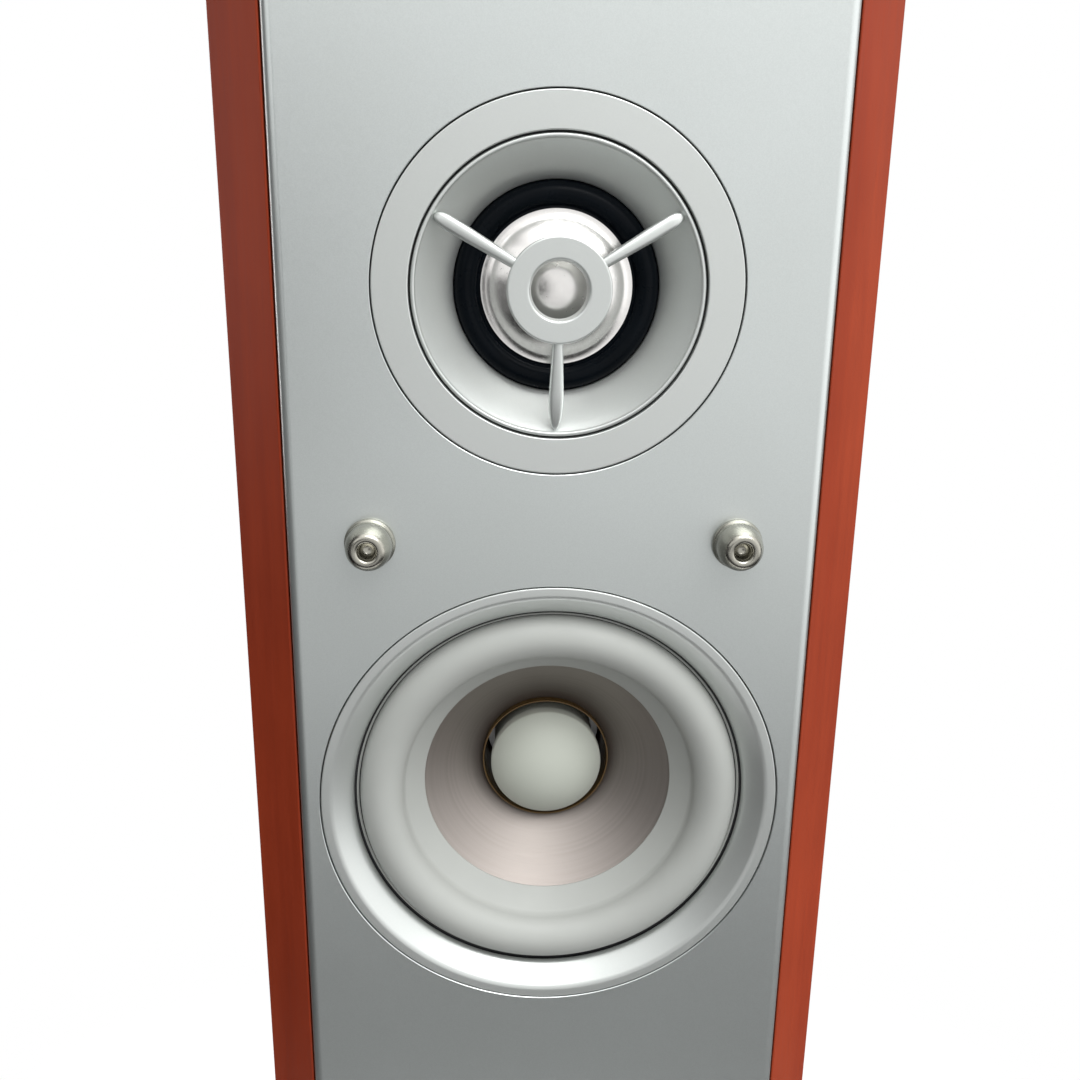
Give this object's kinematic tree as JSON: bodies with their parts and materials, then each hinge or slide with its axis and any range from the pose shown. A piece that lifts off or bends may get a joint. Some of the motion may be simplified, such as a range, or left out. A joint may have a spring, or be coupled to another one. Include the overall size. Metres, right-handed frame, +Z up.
{
  "type": "floorstanding speaker",
  "caption": "Slim two-way floorstanding speaker with a silver front, cherry sides, a horn-loaded dome tweeter, a mid-woofer with a phase plug, rear port, binding posts and levelling feet.",
  "frame": {"origin": "middle of the footprint on the floor: the centre of the plinth in X and Y, with the undersides of the feet at Z 0", "axes": "+Z up, +X to the right as seen from the front, -Y out of the front"},
  "size_m": [0.226, 0.292, 0.932],
  "materials": {
    "cherry_wood": "satin lacquered cherry veneer",
    "silver_front": "moulded fascia in fine satin metallic silver paint",
    "silver_trim": "smooth satin silver",
    "mdf": "raw MDF",
    "back_veneer": "black ash foil",
    "plinth_lacquer": "black satin lacquer on MDF",
    "wadding": "loose polyester fibre",
    "black_steel": "black zinc",
    "brass_insert": "plain brass",
    "zinc_steel": "bright zinc",
    "foot_steel": "satin nickel",
    "post_chrome": "polished chrome",
    "port_plastic": "fine-grained black ABS",
    "gold_plate": "gold plated",
    "cap_red": "clear red polycarbonate",
    "cap_black": "black polycarbonate",
    "circuit_board": "green solder mask",
    "copper_wire": "enamelled copper",
    "film_capacitor": "blue film",
    "cement_resistor": "white cement",
    "wire_insulation": "red PVC",
    "driver_frame": "black powder coat on pressed steel",
    "tweeter_plastic": "black glass-filled nylon",
    "gasket_foam": "closed-cell foam",
    "white_rubber": "light grey satin rubber",
    "black_rubber": "satin black rubber",
    "cone_metal": "spun brown-grey metal",
    "dome_metal": "polished metal",
    "former_film": "amber polyimide film",
    "spider_cloth": "resin-dipped cloth",
    "plug_white": "white matte",
    "plated_steel": "zinc-plated steel",
    "ferrite": "sintered ferrite",
    "phenolic": "brown phenolic strip"
  },
  "bodies": {
    "cabinet": {"side_panel_left": "cherry_wood", "side_panel_right": "cherry_wood", "top_panel": "cherry_wood", "bottom_panel": "cherry_wood", "back_panel": "back_veneer", "baffle_board": "mdf", "front_fascia": "silver_front", "window_braces": "mdf", "damping_wadding": "wadding", "plinth": "plinth_lacquer", "plinth_bolts": "black_steel", "foot_inserts": "brass_insert", "lock_nuts": "zinc_steel", "grille_posts": "post_chrome", "port_flare": "port_plastic", "port_tube": "port_plastic", "terminal_cup": "port_plastic", "cup_screws": "black_steel", "binding_studs": "gold_plate", "binding_nuts": "zinc_steel", "crossover_board": "circuit_board", "crossover_inductors": "copper_wire", "crossover_capacitors": "film_capacitor", "crossover_resistor": "cement_resistor", "crossover_screws": "zinc_steel", "wiring_loom": "wire_insulation", "woofer_trim_ring": "silver_trim", "woofer_basket": "driver_frame", "woofer_gasket": "gasket_foam", "woofer_screws": "black_steel", "woofer_surround": "white_rubber", "woofer_spider": "spider_cloth", "woofer_phase_plug": "plug_white", "woofer_top_plate": "plated_steel", "woofer_magnet": "ferrite", "woofer_yoke": "plated_steel", "woofer_terminals": "phenolic", "tweeter_trim_ring": "silver_trim", "tweeter_frame": "tweeter_plastic", "tweeter_horn": "silver_trim", "tweeter_phase_bridge": "silver_trim", "tweeter_surround": "black_rubber", "tweeter_top_plate": "plated_steel", "tweeter_magnet": "ferrite", "tweeter_yoke": "plated_steel", "tweeter_screws": "black_steel"},
    "woofer_diaphragm": {"woofer_cone": "cone_metal", "woofer_former": "former_film", "woofer_coil": "copper_wire"},
    "tweeter_diaphragm": {"tweeter_dome": "dome_metal", "tweeter_coil": "copper_wire"},
    "cap_carrier_positive": {"washer_positive": "gold_plate"},
    "cap_carrier_negative": {"washer_negative": "gold_plate"},
    "terminal_cap_positive": {"cap_positive": "cap_red"},
    "terminal_cap_negative": {"cap_negative": "cap_black"},
    "leveller_front_left": {"foot_front_left": "foot_steel"},
    "leveller_front_right": {"foot_front_right": "foot_steel"},
    "leveller_rear_left": {"foot_rear_left": "foot_steel"},
    "leveller_rear_right": {"foot_rear_right": "foot_steel"}
  },
  "joints": [
    {"name": "woofer_excursion", "type": "slide", "parent": "cabinet", "child": "woofer_diaphragm", "axis": [0, -1, 0], "range_m": [-0.004, 0.004], "stiffness_N_per_m": 1200, "deforming": ["woofer_surround", "woofer_spider"]},
    {"name": "tweeter_excursion", "type": "slide", "parent": "cabinet", "child": "tweeter_diaphragm", "axis": [0, -1, 0], "range_m": [-0.0005, 0.0005], "stiffness_N_per_m": 1500, "deforming": ["tweeter_surround"]},
    {"name": "cap_positive_travel", "type": "slide", "parent": "cabinet", "child": "cap_carrier_positive", "axis": [0, 1, 0], "range_m": [0, 0.005]},
    {"name": "cap_positive_turn", "type": "hinge", "parent": "cap_carrier_positive", "child": "terminal_cap_positive", "pos_m": [0.019, 0.13, 0.15], "axis": [0, 1, 0], "range_deg": [0, 1440]},
    {"name": "cap_negative_travel", "type": "slide", "parent": "cabinet", "child": "cap_carrier_negative", "axis": [0, 1, 0], "range_m": [0, 0.005]},
    {"name": "cap_negative_turn", "type": "hinge", "parent": "cap_carrier_negative", "child": "terminal_cap_negative", "pos_m": [-0.019, 0.13, 0.15], "axis": [0, 1, 0], "range_deg": [0, 1440]},
    {"name": "foot_front_left_height", "type": "slide", "parent": "cabinet", "child": "leveller_front_left", "axis": [0, 0, -1], "range_m": [0, 0.008]},
    {"name": "foot_front_right_height", "type": "slide", "parent": "cabinet", "child": "leveller_front_right", "axis": [0, 0, -1], "range_m": [0, 0.008]},
    {"name": "foot_rear_left_height", "type": "slide", "parent": "cabinet", "child": "leveller_rear_left", "axis": [0, 0, -1], "range_m": [0, 0.008]},
    {"name": "foot_rear_right_height", "type": "slide", "parent": "cabinet", "child": "leveller_rear_right", "axis": [0, 0, -1], "range_m": [0, 0.008]}
  ],
  "couplings": [
    {"joint": "cap_positive_turn", "follows": "cap_positive_travel", "rad_per_m": 5026.5},
    {"joint": "cap_negative_turn", "follows": "cap_negative_travel", "rad_per_m": 5026.5}
  ]
}
